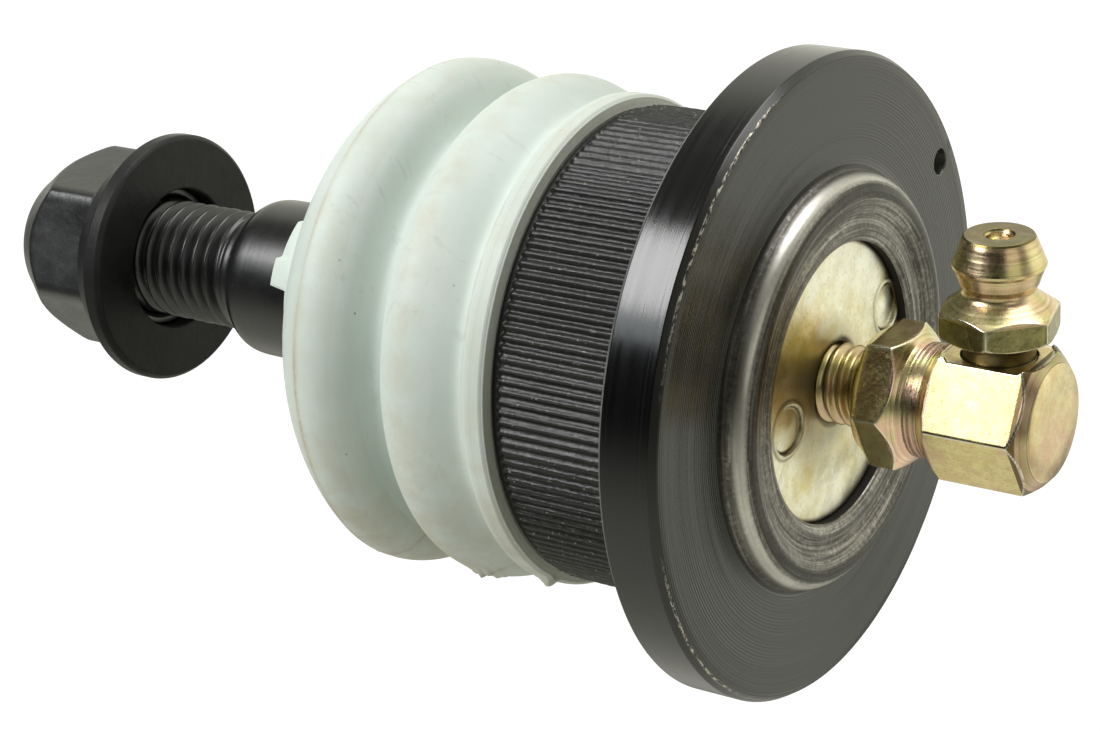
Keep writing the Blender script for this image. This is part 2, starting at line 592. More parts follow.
def silicone():
    """Boot: pale grey-green silicone with a tan bloom on the ridges, a few dark specks and handling marks."""
    s = Shader("grey_green_silicone")
    a = s.t.nodes.new("ShaderNodeAttribute")
    a.attribute_name = "rest"
    p = a.outputs["Vector"]
    b = s.t.nodes.new("ShaderNodeAttribute")
    b.attribute_name = "stain"
    stain = b.outputs["Fac"]
    e = s.t.nodes.new("ShaderNodeAttribute")
    e.attribute_name = "cut"
    cut = e.outputs["Fac"]
    soft = s.noise(95, 4.0, 0.6, coord=p)
    mid = s.noise(420, 4.0, 0.6, coord=p)
    fine = s.noise(2600, 3.0, 0.6, coord=p)
    base = s.mix(s.span(soft, 0.3, 0.7), (0.565, 0.640, 0.585), (0.635, 0.700, 0.650))
    base = s.mix(s.span(mid, 0.48, 0.72, 0, 0.30), base, (0.60, 0.625, 0.555))
    tan = s.math("MULTIPLY", stain, s.span(mid, 0.34, 0.60, 0.25, 1.0))
    base = s.mix(s.math("MULTIPLY", tan, 0.85), base, (0.48, 0.43, 0.31))
    f = s.t.nodes.new("ShaderNodeAttribute")
    f.attribute_name = "seam"
    seam = f.outputs["Fac"]
    base = s.mix(s.math("MULTIPLY", seam, s.span(fine, 0.35, 0.6, 0.35, 1.0)), base, (0.33, 0.27, 0.18))
    g = s.t.nodes.new("ShaderNodeAttribute")
    g.attribute_name = "band"
    band = g.outputs["Fac"]
    rx = s.split(p)[0]
    layer = s.noise(6200, 2.0, 0.6, w=rx)
    base = s.mix(s.math("MULTIPLY", band, s.span(layer, 0.5, 0.68, 0.0, 0.5)), base, (0.47, 0.47, 0.37))
    marks = s.noise(1.0, 4.0, 0.6, coord=s.vec("MULTIPLY", p, (300.0, 1500.0, 260.0)))
    base = s.mix(s.span(marks, 0.62, 0.74, 0, 0.35), base, (0.40, 0.42, 0.36))
    dots = s.cells(520, coord=p)
    few = s.noise(260, 1.0, 0.5, coord=p)
    dot = s.math("MULTIPLY", s.span(dots, 0.075, 0.045), s.span(few, 0.58, 0.62))
    base = s.mix(s.math("MULTIPLY", dot, 0.75), base, (0.09, 0.085, 0.07))
    dirt = s.math("MULTIPLY", s.span(s.noise(700, 5.0, 0.75, coord=p), 0.58, 0.68), s.span(soft, 0.46, 0.60))
    base = s.mix(s.math("MULTIPLY", dirt, 0.35), base, (0.42, 0.38, 0.27))
    # the cut end face of the lip is greyer and shows layers
    base = s.mix(cut, base, s.mix(s.noise(1500, 4.0, 0.7, coord=p), (0.50, 0.515, 0.44), (0.72, 0.735, 0.65)))
    n = s.bump(mid, 0.10, 0.0002)
    n = s.bump(fine, 0.10, 0.00005, n)
    n = s.bump(s.math("MULTIPLY", layer, band), 0.5, 0.00008, n)
    s.set(Base_Color=base, Roughness=s.span(mid, 0.3, 0.7, 0.44, 0.56), Normal=n)
    s.bsdf.inputs["Subsurface Weight"].default_value = 0.12
    s.bsdf.inputs["Subsurface Radius"].default_value = (1.0, 1.0, 0.9)
    s.bsdf.inputs["Subsurface Scale"].default_value = 0.0012
    s.bsdf.inputs["Specular IOR Level"].default_value = 0.42
    return s.m


def plain(name, a, b, rough=0.5, metallic=0.0, scale=400):
    """Hidden pieces and springs: mottled plastic or steel with a fine surface."""
    s = Shader(name)
    cloud = s.noise(scale, 4.0, 0.6)
    fine = s.noise(scale * 6, 3.0, 0.6)
    s.set(Base_Color=s.mix(s.span(cloud, 0.3, 0.7), a, b), Roughness=s.span(cloud, 0.3, 0.7, rough - 0.06, rough + 0.06), Metallic=metallic, Normal=s.bump(fine, 0.12, 0.00003))
    return s.m


M_FACE, M_RIM, M_CHAMFER, M_KNURL, M_LIP = black_face(), black_rim(), black_chamfer(), black_knurl(), burnished()
M_INNER = plain("machined_bore", (0.10, 0.10, 0.095), (0.20, 0.20, 0.19), 0.35, 0.8)
M_BAND = plain("black_groove", (0.0015, 0.0015, 0.0015), (0.004, 0.004, 0.004), 0.75)
M_BEVEL = plain("grey_back_bevel", (0.085, 0.088, 0.082), (0.15, 0.155, 0.145), 0.5, 0.0, 900)
M_PIT = plain("brown_thread_hole", (0.004, 0.003, 0.001), (0.012, 0.009, 0.004), 0.7)
M_CONE = dichromate("yellow_zinc_cone", 0, 0.42, 0.20, 0.34, 0.9, 0.9)
M_PLATE = zinc_plate()
M_ELBOW = dichromate("yellow_zinc_turned", 0)
M_FLAT = dichromate_flat("yellow_zinc_flat", (0.58, 0.47, 0.22))
M_FLAT_DARK = dichromate_flat("yellow_zinc_flat_scuffed", (0.52, 0.41, 0.21), 0.8, 0.28, 0.44, 1.4, 0.8)
M_END = dichromate_flat("yellow_zinc_end", (0.62, 0.49, 0.27), 0.35, 0.26, 0.38, 0.5, 0.15, 0.55)
M_NIPPLE = dichromate("yellow_zinc_nipple", 2, 0.0, 0.16, 0.28, 0.55, 0.0, 0.2)
M_NIPPLE_ROOT = dichromate("yellow_zinc_nipple_root", 2, 0.80, 0.30, 0.44, 0.2)
M_NIPPLE_FLAT = dichromate_flat("yellow_zinc_nipple_flat", (0.21, 0.19, 0.08), 0.8, 0.24, 0.38, 1.0, 0.3)
M_NIPPLE_TOP = dichromate_flat("yellow_zinc_nipple_top", (0.15, 0.125, 0.048), 0.3, 0.28, 0.38, 0.8, 0.15)
M_STUB = dichromate("yellow_zinc_stub", 0, 0.25, 0.20, 0.34, 0.55)
M_STUD = stud_black("black_stud_shank", 0.22, 0.32)
M_THREAD = stud_black("black_stud_thread", 0.24, 0.36, 0.05)
M_NUT, M_WASHER = phosphate("black_phosphate_nut", 1.3, 0.85), phosphate("black_phosphate_washer", 0.5, 0.14, True)
M_BOOT = silicone()


# --------------------------------------------------------------------- housing
FACE = 11.5
TEETH = 146
SEGS = TEETH * 5


def housing():
    parts = []
    # section in zones: 0 inside, 1 plain band and groove, 2 knurl, 3 flange back, 4 rim, 5 chamfer, 6 face, 7 lip
    parts.append((0, polyline([(-7.9, 13.9), (-7.9, 10.6, 0.15), (-9.8, 12.2, 0.1), (-10.1, 12.5, 0.1), (-10.1, 16.4, 0.1), (-9.6, 16.9, 0.1), (-9.0, 16.9, 0.05), (-9.0, 15.9)], 1)))
    parts.append((1, polyline([(-9.0, 15.9), (-6.0, 15.9, 0.1), (-6.0, 17.72), (-5.87, 17.86), (-5.66, 17.86), (-5.6, 17.84)], 2)))
    parts.append((2, fill(polyline([(-5.6, 17.84), (-5.55, 17.88), (-5.12, 18.28, 0.12), (-4.42, 18.3, 0.12), (6.4, 18.3, 0.05), (6.65, 18.05), (6.8, 18.0)], 2), 0.42)))
    parts.append((3, fill(polyline([(6.8, 18.0), (6.8, 23.62)]), 2.9)))
    parts.append((8, polyline([(6.8, 23.62), (6.84, 23.68), (7.18, 24.06)], 2)))
    parts.append((4, polyline([(7.18, 24.06), (7.25, 24.1, 0.05), (10.9, 24.1, 0.05), (10.97, 24.06)], 2)))
    parts.append((5, polyline([(10.97, 24.06), (11.44, 23.75, 0.05), (11.5, 23.66)], 3, 0.02)))
    parts.append((6, fill(polyline([(11.5, 23.66), (11.5, 15.92, 0.0)]), 0.8)))
    lip = spline([(FACE, 15.92), (FACE + 0.16, 15.74), (FACE + 1.15, 15.35), (FACE + 1.85, 14.65), (FACE + 2.0, 14.05), (FACE + 1.72, 13.1), (FACE + 1.35, 12.35), (FACE + 1.42, 11.75), (FACE + 1.5, 11.35), (FACE + 1.38, 10.75), (FACE + 1.15, 10.5)], 44)
    parts.append((7, lip))
    parts.append((9, polyline([(FACE + 1.15, 10.5), (FACE + 0.45, 10.55, 0.03), (FACE + 0.45, 13.9)])))
    parts.append((0, fill(polyline([(FACE + 0.45, 13.9), (-7.9, 13.9)]), 5)))
    section, zone = [np.array(parts[0][1])], [parts[0][0]] * (len(parts[0][1]) - 1)
    for z, s in parts[1:]:
        section.append(s[1:])
        zone += [z] * (len(s) - 1)
    section = np.vstack(section)[:-1]
    slot_of = {0: 0, 1: 1, 2: 2, 3: 3, 4: 4, 5: 5, 6: 3, 7: 6, 8: 7, 9: 1}
    rnd = np.random.default_rng(7)

    def change(x, r, a):
        # knurl: flat crests, rounded roots, slightly uneven from tooth to tooth
        tooth = (a / (2 * pi) * TEETH) % 1.0
        depth = np.clip(1.35 * (0.5 - 0.5 * np.cos(2 * pi * tooth)), 0, 1)
        uneven = 0.86 + 0.14 * np.sin(a * 31 + 1.3) * np.sin(a * 17)
        on = smooth_step(17.7, 18.25, r) * (x > -5.58) * (x < 6.78) * (r < 19)
        torn = 1 + 0.35 * np.sin(a * 53 + x * 0.8) * np.sin(a * 11 + 2)
        r = r - (0.40 * depth * uneven + rnd.normal(0, 0.016, r.shape) * torn) * on
        # nicks along the front edge of the rim
        nick = np.clip(wander(a, 5, 24, 9) - 0.34, 0, 1) * 0.16
        near = (x > 10.9) * (r > 23.55)
        return x, r - nick * near

    zones = lambda i: slot_of[zone[i]] if i < len(zone) else 0
    o = lathe("housing_forging", section, SEGS, True, change, zones, materials=(M_INNER, M_BAND, M_KNURL, M_FACE, M_RIM, M_CHAMFER, M_LIP, M_BEVEL))
    # drilled blind hole in the face
    bm = bmesh.new()
    bm.from_mesh(o.data)
    ang = math.radians(30.3)
    centre = Vector((FACE, 21.7 * math.cos(ang), 21.7 * math.sin(ang))) * MM
    gone = [f for f in bm.faces if f.material_index == 3 and f.calc_center_median().x > 11.4 * MM and (f.calc_center_median() - centre).length < 1.65 * MM]
    bmesh.ops.delete(bm, geom=gone, context="FACES")
    window = [e for e in bm.edges if e.is_boundary and (e.verts[0].co - centre).length < 3.2 * MM and abs(e.verts[0].co.x - centre.x) < 1e-7]
    rings = []
    for dx, rad in ((0, 1.12), (0.04, 1.03), (0.12, 1.0), (2.6, 1.0), (2.75, 0.9)):
        rings.append([bm.verts.new(centre + Vector((-dx, rad * math.cos(t), rad * math.sin(t))) * MM) for t in np.arange(40) * 2 * pi / 40])
    first = [bm.edges.new((rings[0][i], rings[0][(i + 1) % 40])) for i in range(40)]
    made = bmesh.ops.triangle_fill(bm, use_beauty=True, use_dissolve=False, edges=window + first, normal=(1, 0, 0))["geom"]
    inside = []
    for f in [g for g in made if isinstance(g, bmesh.types.BMFace)]:
        f.material_index, f.smooth = 3, False
        if f.normal.x < 0:
            f.normal_flip()
        if (f.calc_center_median() - centre).length < 1.0 * MM:
            inside.append(f)
    bmesh.ops.delete(bm, geom=inside, context="FACES_ONLY")
    for a, b in zip(rings[:-1], rings[1:]):
        for i in range(40):
            f = bm.faces.new((a[i], a[(i + 1) % 40], b[(i + 1) % 40], b[i]))
            f.material_index, f.smooth = 0, True
    tip = bm.verts.new(centre - Vector((3.0, 0, 0)) * MM)
    for i in range(40):
        f = bm.faces.new((rings[-1][i], rings[-1][(i + 1) % 40], tip))
        f.material_index, f.smooth = 0, True
    bm.to_mesh(o.data)
    bm.free()
    o.data.update()
    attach(o, "body")
    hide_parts("housing")
    return o


# ----------------------------------------------------------------- cover plate
DIMPLES = ((8.5, 2.8), (-6.9, -1.1))


def cover_plate():
    rs = np.r_[np.linspace(3.02, 5.2, 16), np.arange(5.3, 11.0, 0.085), 11.6, 12.6, 13.75]
    section = [(FACE + 0.70 - 0.25 * smooth_step(5.2, 8.0, r) if r < 8.2 else FACE + 0.45, r) for r in rs[::-1]]
    section = [(10.4, 3.05), (10.4, 8.0), (10.4, 13.85), (11.85, 13.85)] + section + [(FACE + 0.62, 2.98), (FACE + 0.3, 2.98)]
    n_back = 4

    def change(x, r, a):
        y, z = r * np.cos(a), r * np.sin(a)
        front = x > 11.4
        lift = 0.012 * np.sin(y * 0.9 + 1) * np.cos(z * 0.7) + 0.010 * np.sin(1.9 * y - 1.3 * z)
        for k, (cy, cz) in enumerate(DIMPLES):
            d = np.hypot(y - cy, (z - cz) * 0.96)
            # raised collar, sunk floor with a slight crown: a plain round stamping
            lift = lift + 0.11 * np.exp(-(((d - 1.93) / 0.14) ** 2)) - 0.22 * smooth_step(1.80, 1.55, d)
            lift = lift + 0.10 * np.exp(-((d / 0.8) ** 2))
        # plate is dragged up a little beside one stamping
        t = (y + 8.2) * 0.62 + (z + 4.1) * 0.78
        s = -(y + 8.2) * 0.78 + (z + 4.1) * 0.62
        lift = lift + 0.05 * np.exp(-((s / 0.16) ** 2)) * np.exp(-((t / 1.1) ** 2))
        return x + lift * front, r

    o = lathe("cover_plate_zinc", section, 420, True, change, materials=(M_PLATE,))
    me = o.data
    co = np.zeros(len(me.vertices) * 3, np.float32)
    me.vertices.foreach_get("co", co)
    p = co.reshape(-1, 3) / MM
    y, z = p[:, 1], p[:, 2]
    grime = np.zeros(len(p))
    for cy, cz in DIMPLES:
        d = np.hypot(y - cy, (z - cz) * 0.96)
        grime = np.maximum(grime, 0.75 * np.exp(-(((d - 1.66) / 0.12) ** 2)))
        grime = np.maximum(grime, 0.45 * np.exp(-(((d - 2.15) / 0.12) ** 2)))
    r = np.hypot(y, z)
    grime = np.maximum(grime, 0.75 * smooth_step(3.75, 3.2, r))
    grime = np.maximum(grime, 0.42 * smooth_step(6.6, 3.0, np.hypot(y + 1.6, z + 0.3)))
    grime = np.maximum(grime, 0.8 * smooth_step(10.1, 10.5, r))
    at = me.attributes.new("grime", "FLOAT", "POINT")
    at.data.foreach_set("value", np.clip(grime, 0, 1).astype(np.float32))
    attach(o, "body")
    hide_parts("cover_plate")
    return o


# ------------------------------------------------------------------- ball stud
def ball_stud():
    neck_x = -math.sqrt(100 - 4.9**2)
    a = np.linspace(math.atan2(6.0, 8.0), math.atan2(4.9, neck_x), 40)
    ball = np.stack([10 * np.cos(a), 10 * np.sin(a)], 1)[::-1]
    th0, th1 = -62.0, -41.55
    ends = polyline([(-62.0, 0), (-62.0, 3.0), (-62.0, 3.9, 0.2), (-61.0, 4.86)])
    xs = np.arange(-61.0, th1, 0.085)
    thread = np.stack([xs, np.full_like(xs, 4.9)], 1)
    shank = polyline([(th1 + 0.02, 4.9), (-41.36, 4.92, 0.05), (-41.25, 5.0)])
    shoulder = spline([(-41.25, 5.0), (-41.1, 5.28), (-40.75, 5.78), (-40.25, 6.2), (-39.6, 6.42), (-38.9, 6.48)], 16)
    taper = polyline([(-38.9, 6.48), (-22.0, 6.75, 1.0), (-16.5, 4.9, 1.0), (neck_x, 4.9)])
    front = polyline([(8.0, 6.0), (8.0, 2.2), (7.0, 0)])
    section = join(ends, thread, shank, shoulder, fill(taper, 3.0), ball, front)
    n_thread = len(ends), len(ends) + len(thread)

    def change(x, r, ang):
        cut = smooth_step(-61.6, -60.6, x) * (1 - smooth_step(-43.1, -41.9, x)) * (np.abs(r - 4.9) < 0.35)
        w = thread_wave(x, ang, 1.25)
        r = r - 0.70 * w * cut
        # crests are a little ragged
        return x, r + 0.02 * np.sin(ang * 7 + x * 2.1) * cut * (1 - w)

    o = lathe("ball_stud_forging", section, 192, False, change, lambda i: 1 if x_of(section, i) < -41.4 else 0, materials=(M_STUD, M_THREAD))
    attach(o, "stud")
    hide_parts("ball_stud")
    return o


def x_of(section, i):
    return (section[i][0] + section[min(i + 1, len(section) - 1)][0]) / 2


# --------------------------------------------------------------- washer and nut
def washer():
    section = polyline([(-52.3, 8.0), (-52.3, 10.0, 0.3), (-51.85, 10.45, 0.35), (-50.75, 10.45, 0.45), (-50.4, 10.1, 0.3), (-50.4, 8.0), (-50.4, 6.05, 0.1), (-50.55, 5.9, 0.1), (-52.3, 5.9, 0.1), (-52.3, 8.0)], 5)[:-1]

    def change(x, r, a):
        # pressed washer: a very slight dish and a rim that isn't quite true
        return x + 0.02 * np.sin(2 * a + 1) * (r / 10), r + 0.02 * wander(a, 3, 6, 2) * (r > 9)

    o = lathe("nut_washer_plate", section, 240, True, change, materials=(M_WASHER,))
    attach(o, "washer")
    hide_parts("nut_washer")
    return o


def stud_nut():
    pitch = 1.25
    out1 = polyline([(-63.1, 5.2), (-63.1, 5.6, 0.1), (-62.7, 6.05, 0.35), (-59.3, 8.5, 0.6), (-58.6, 9.3), (-54.6, 9.3), (-54.45, 8.4), (-54.3, 8.55, 0.1), (-53.0, 8.9, 0.12), (-52.42, 8.9, 0.12), (-52.38, 8.6), (-52.38, 5.8, 0.05), (-51.8, 5.75, 0.08), (-51.8, 5.3)], 4)
    out1 = fill(out1, 0.28)
    xs = np.arange(-52.2, -62.75, -0.11)
    bore = np.stack([xs, np.full_like(xs, 5.06)], 1)
    section = join(out1, polyline([(-51.8, 5.3), (-52.2, 5.06)]), bore, polyline([(bore[-1][0] - 0.05, 5.06), (-63.1, 5.2)]))[:-1]

    def change(x, r, a):
        inner = r < 5.2
        w = thread_wave(x, a, pitch)
        inside = (x > -62.6) * (x < -52.3)
        r_in = r
        r_in = np.where(inside, 5.04 + 0.45 * w, r_in)
        hexa = hexagon(a, 15.0, 9.0, 0.16)
        in_hex = (x < -54.29) * (r > 5.3)
        r_out = np.where(in_hex, smooth_min(r, hexa, 0.12), r)
        # the locking top was squeezed from three sides, so the cone isn't quite round
        squeeze = 0.10 * smooth_step(-60.5, -62.6, x) * np.cos(3 * (a + 0.5))
        return x, np.where(inner, r_in, r_out - squeeze * (r > 5.3))

    o = lathe("stud_nut_hex", section, 420, True, change, materials=(M_NUT,))
    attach(o, "nut")
    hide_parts("stud_nut")
    return o


# ----------------------------------------------------------------------- elbow
NIP, SPOT = 25.24, 4.50


def wear_edges(o, profile, across_flats, corner_deg, at):
    """Marks the corners of a turned hexagon bar and the curves where the turning meets its flats."""
    me = o.data
    co = np.zeros(len(me.vertices) * 3, np.float32)
    me.vertices.foreach_get("co", co)
    p = co.reshape(-1, 3) / MM
    if at is None:
        along, ang = p[:, 0], np.arctan2(p[:, 2], p[:, 1])
    else:
        along, ang = p[:, 2], np.arctan2(p[:, 1], p[:, 0] - at)
    order = np.argsort(profile[:, 0], kind="stable")
    turned = np.interp(along, profile[order, 0], profile[order, 1])
    hexa = hexagon(ang, across_flats, corner_deg, 0.02)
    here = (along >= profile[:, 0].min() - 1e-3) & (along <= profile[:, 0].max() + 1e-3) & (turned > across_flats / 2 - 0.1)
    curve = np.exp(-(((hexa - turned) / 0.045) ** 2))
    off = np.abs((np.degrees(ang) - corner_deg + 30) % 60 - 30)
    corner = 0.9 * np.exp(-((off / 0.75) ** 2)) * (turned > hexa)
    wear = np.clip(np.maximum(curve, corner), 0, 1) * here
    at_ = me.attributes.new("wear", "FLOAT", "POINT")
    at_.data.foreach_set("value", wear.astype(np.float32))


def elbow():
    stub_x = np.arange(11.1, 15.15, 0.11)
    stub = np.stack([stub_x, np.full_like(stub_x, 3.0)], 1)
    section = join(
        polyline([(10.6, 1.25), (10.6, 2.6, 0.05), (11.1, 3.0)]),
        stub,
        polyline([(stub[-1][0], 3.0), (15.25, 2.72, 0.05), (15.7, 2.7, 0.05), (15.7, 4.45, 0.1), (16.3, 5.6)]),
        fill(polyline([(16.3, 5.6), (18.1, 5.6)]), 0.3),
        fill(polyline([(18.1, 5.6), (19.15, 4.45, 0.15), (19.55, 4.2, 0.3), (20.75, 4.2, 0.3), (21.35, 4.5, 0.1), (21.6, 5.05, 0.08), (21.95, 5.6)], 4), 0.12),
        fill(polyline([(21.95, 5.6), (28.1, 5.6)]), 0.085),
        fill(polyline([(28.1, 5.6), (29.4, 4.15, 0.06)], 4), 0.14),
        polyline([(29.4, 4.15), (29.4, 2.5), (29.4, 0)]),
    )
    def outline(x, r, a, half_x, half_y):
        """Which points are inside the oval round the nipple's axis, with the nearest point of each ring moved onto it."""
        r, a = r.copy(), a.copy()
        y = r * np.cos(a)
        up = np.sin(a) > 0.2
        inside = (np.hypot((x - NIP) / half_x, y / half_y) < 1) & up
        for i in np.where(np.abs(x[:, 0] - NIP) < half_x)[0]:
            cut = half_y * math.sqrt(1 - ((x[i, 0] - NIP) / half_x) ** 2)
            js = np.where(up[i])[0]
            for side in (1, -1):
                j = js[np.argmin(np.abs(y[i, js] - side * cut))]
                dy = y[i, j + 1] - y[i, j - 1]
                if abs(dy) < 1e-6:
                    continue
                k = float(np.clip((side * cut - y[i, j]) / dy, -0.5, 0.5))
                da, dr = a[i, j + 1] - a[i, j - 1], r[i, j + 1] - r[i, j - 1]
                a[i, j] += k * da
                r[i, j] += k * dr
                inside[i, j] = False
        return r, a, inside

    def change(x, r, a):
        r0 = r.copy()
        # thread on the stub, about four turns showing
        on = smooth_step(10.7, 11.4, x) * (1 - smooth_step(14.75, 15.15, x)) * (r0 < 3.2) * (r0 > 2.9)
        r = r - 0.42 * thread_wave(x, a, 1.0, 0.1) * on
        # hexagon bar
        hx = hexagon(a, 9.53, 0.0, 0.05)
        is_bar = (x > 15.6) * (r0 > 2.95)
        # the front hexagon was a shade smaller once its faces were pressed
        r = np.where(is_bar, smooth_min(r, hx, 0.05), r)
        # spot face and thread hole under the nipple, cut straight down into the block
        r, a, inside = outline(x, r, a, 3.95, 3.95)
        flat = SPOT / np.maximum(np.sin(a), 0.2)
        r = np.where(inside & (r > flat), flat, r)
        r, a, inside = outline(x, r, a, 2.72, 2.64)
        hole = 1.9 / np.maximum(np.sin(a), 0.2)
        r = np.where(inside & (r > hole), hole, r)
        # small turning ridges in the neck
        neck = smooth_step(18.9, 19.4, x) * (1 - smooth_step(21.0, 21.5, x))
        return x, r + neck * 0.008 * np.sin(x * 15), a

    # material by ring: 0 turned, 1 front hexagon, 2 block, 3 end
    def zones(i):
        x, r = x_of(section, i), (section[i][1] + section[min(i + 1, len(section) - 1)][1]) / 2
        if x > 29.3 and r < 4.3:
            return 3
        if x > 28.3:
            return 5
        if x < 15.5:
            return 6
        if x > 21.9 and x < 28.3:
            return 2
        if 15.9 < x < 18.6:
            return 1
        return 0

    o = lathe("elbow_fitting", section, 540, False, change, zones, materials=(M_ELBOW, M_FLAT_DARK, M_FLAT, M_END, M_PIT, M_CONE, M_STUB))
    # faces of the bar that the lathe cut keep the turned finish
    me = o.data
    n = len(me.polygons)
    idx, cen, nor = np.zeros(n, np.int32), np.zeros(n * 3, np.float32), np.zeros(n * 3, np.float32)
    me.polygons.foreach_get("material_index", idx)
    me.polygons.foreach_get("center", cen)
    me.polygons.foreach_get("normal", nor)
    nx = nor.reshape(-1, 3)[:, 0]
    turned = (np.abs(nx) > 0.12) & ((idx == 1) | (idx == 2))
    idx[turned] = 0
    # only one flat of the front hexagon is badly scuffed by a spanner
    ny = nor.reshape(-1, 3)
    facing = ny[:, 1] * math.cos(math.radians(150)) + ny[:, 2] * math.sin(math.radians(150))
    idx[(idx == 1) & (facing < 0.97)] = 2
    cen = cen.reshape(-1, 3) / MM
    d = np.hypot((cen[:, 0] - NIP) / 2.72, cen[:, 1] / 2.64)
    below = np.hypot(cen[:, 1], cen[:, 2]) < hexagon(np.arctan2(cen[:, 2], cen[:, 1]), 9.53, 0.0, 0.05) - 0.35
    idx[(d < 1.0) & (cen[:, 2] > 0) & (cen[:, 2] < SPOT - 0.05) & below] = 4
    wear_edges(o, section[section[:, 0] > 15.65], 9.53, 0.0, None)
    # bright burr where the spot face breaks out through the two upper flats
    co = np.zeros(len(me.vertices) * 3, np.float32)
    me.vertices.foreach_get("co", co)
    p = co.reshape(-1, 3) / MM
    wear = np.zeros(len(p), np.float32)
    me.attributes["wear"].data.foreach_get("value", wear)
    burr = np.exp(-(((p[:, 2] - SPOT) / 0.06) ** 2)) * (np.hypot(p[:, 0] - NIP, p[:, 1]) < 4.0) * (np.abs(p[:, 1]) > 2.84)
    me.attributes["wear"].data.foreach_set("value", np.maximum(wear, 0.8 * burr).astype(np.float32))
    me.polygons.foreach_set("material_index", idx)
    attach(o, "elbow")
    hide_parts("elbow_body")
    return o


# ---------------------------------------------------------------------- nipple
def nipple():
    top = 13.45
    section = join(
        polyline([(0.9, 1.0), (0.9, 2.6, 0.1), (1.3, 2.98, 0.1), (4.1, 2.98, 0.1), (4.45, 2.55, 0.1), (6.1, 2.55, 0.05)]),
        fill(polyline([(6.1, 2.55), (6.1, 3.85, 0.05), (6.35, 4.3, 0.08), (6.6, 4.6)]), 0.12),
        fill(polyline([(6.6, 4.6), (7.75, 4.6)]), 0.12),
        fill(polyline([(7.75, 4.6), (8.25, 3.85, 0.1), (9.05, 2.82, 0.2)], 4), 0.07),
        spline([(9.05, 2.82), (9.28, 2.63), (9.5, 2.58), (9.72, 2.64), (9.95, 2.78)], 10),
        fill(polyline([(9.95, 2.78), (11.0, 3.15, 0.1), (11.23, 3.29, 0.08), (11.42, 3.3, 0.08), (13.3, 2.56, 0.05), (13.45, 2.45, 0.05), (13.45, 1.12, 0.05), (13.2, 0.92, 0.05), (12.7, 0.9, 0.05), (12.1, 1.55, 0.05)], 3), 0.14),
        polyline([(12.1, 1.55), (1.9, 1.55)]),
        polyline([(1.9, 1.55), (1.9, 1.0), (0.9, 1.0)]),
    )[:-1]

    def change(z, r, a):
        hx = hexagon(a, 7.8, -17.0, 0.10)
        on = (z > 6.05) * (z < 8.9) * (r > 2.6)
        r = np.where(on, smooth_min(r, hx, 0.06), r)
        # tool chatter on the head's cone, and a top edge that isn't quite round
        head = smooth_step(11.45, 11.7, z) * (1 - smooth_step(13.2, 13.4, z)) * (r > 2)
        r = r + head * (0.008 * np.sin(z * 31) + 0.005 * np.sin(z * 57 + 2 * np.sin(a * 3)))
        edge = smooth_step(13.1, 13.3, z) * (r > 1.8)
        return z, r - edge * 0.035 * (0.5 + 0.5 * wander(a, 11, 8, 5)) * (r > 2.3)

    def zones(i):
        z, r = x_of(section, i), (section[i][1] + section[min(i + 1, len(section) - 1)][1]) / 2
        if z > 13.3 and r > 1.0:
            return 2
        if 6.2 < z < 7.9 and r > 3.4:
            return 1
        if z < 6.12 and r < 4:
            return 3
        return 0

    o = lathe("grease_nipple_zinc", section, 360, True, change, zones, at=NIP, materials=(M_NIPPLE, M_NIPPLE_FLAT, M_NIPPLE_TOP, M_NIPPLE_ROOT))
    o.data.flip_normals()
    outer = section[(section[:, 0] > 6.05) & (section[:, 0] < 9.0) & (section[:, 1] > 2.7)]
    wear_edges(o, outer, 7.8, -17.0, NIP)
    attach(o, "elbow")
    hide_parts("grease_nipple")
    return o


# ------------------------------------------------------------------------ boot
SEAM = -19.8


def cut_at(section, x):
    """The section in two at x, both with the same point at the cut. x runs one way along it."""
    v = section[:, 0]
    i = int(np.argmax((v[:-1] - x) * (v[1:] - x) <= 0))
    k = (x - v[i]) / (v[i + 1] - v[i])
    at = np.array([[x, section[i, 1] + k * (section[i + 1, 1] - section[i, 1])]])
    first = section[: i + 1] if abs(v[i] - x) > 0.02 else section[:i]
    last = section[i + 1 :] if abs(v[i + 1] - x) > 0.02 else section[i + 2 :]
    return np.vstack([first, at]), np.vstack([at, last])


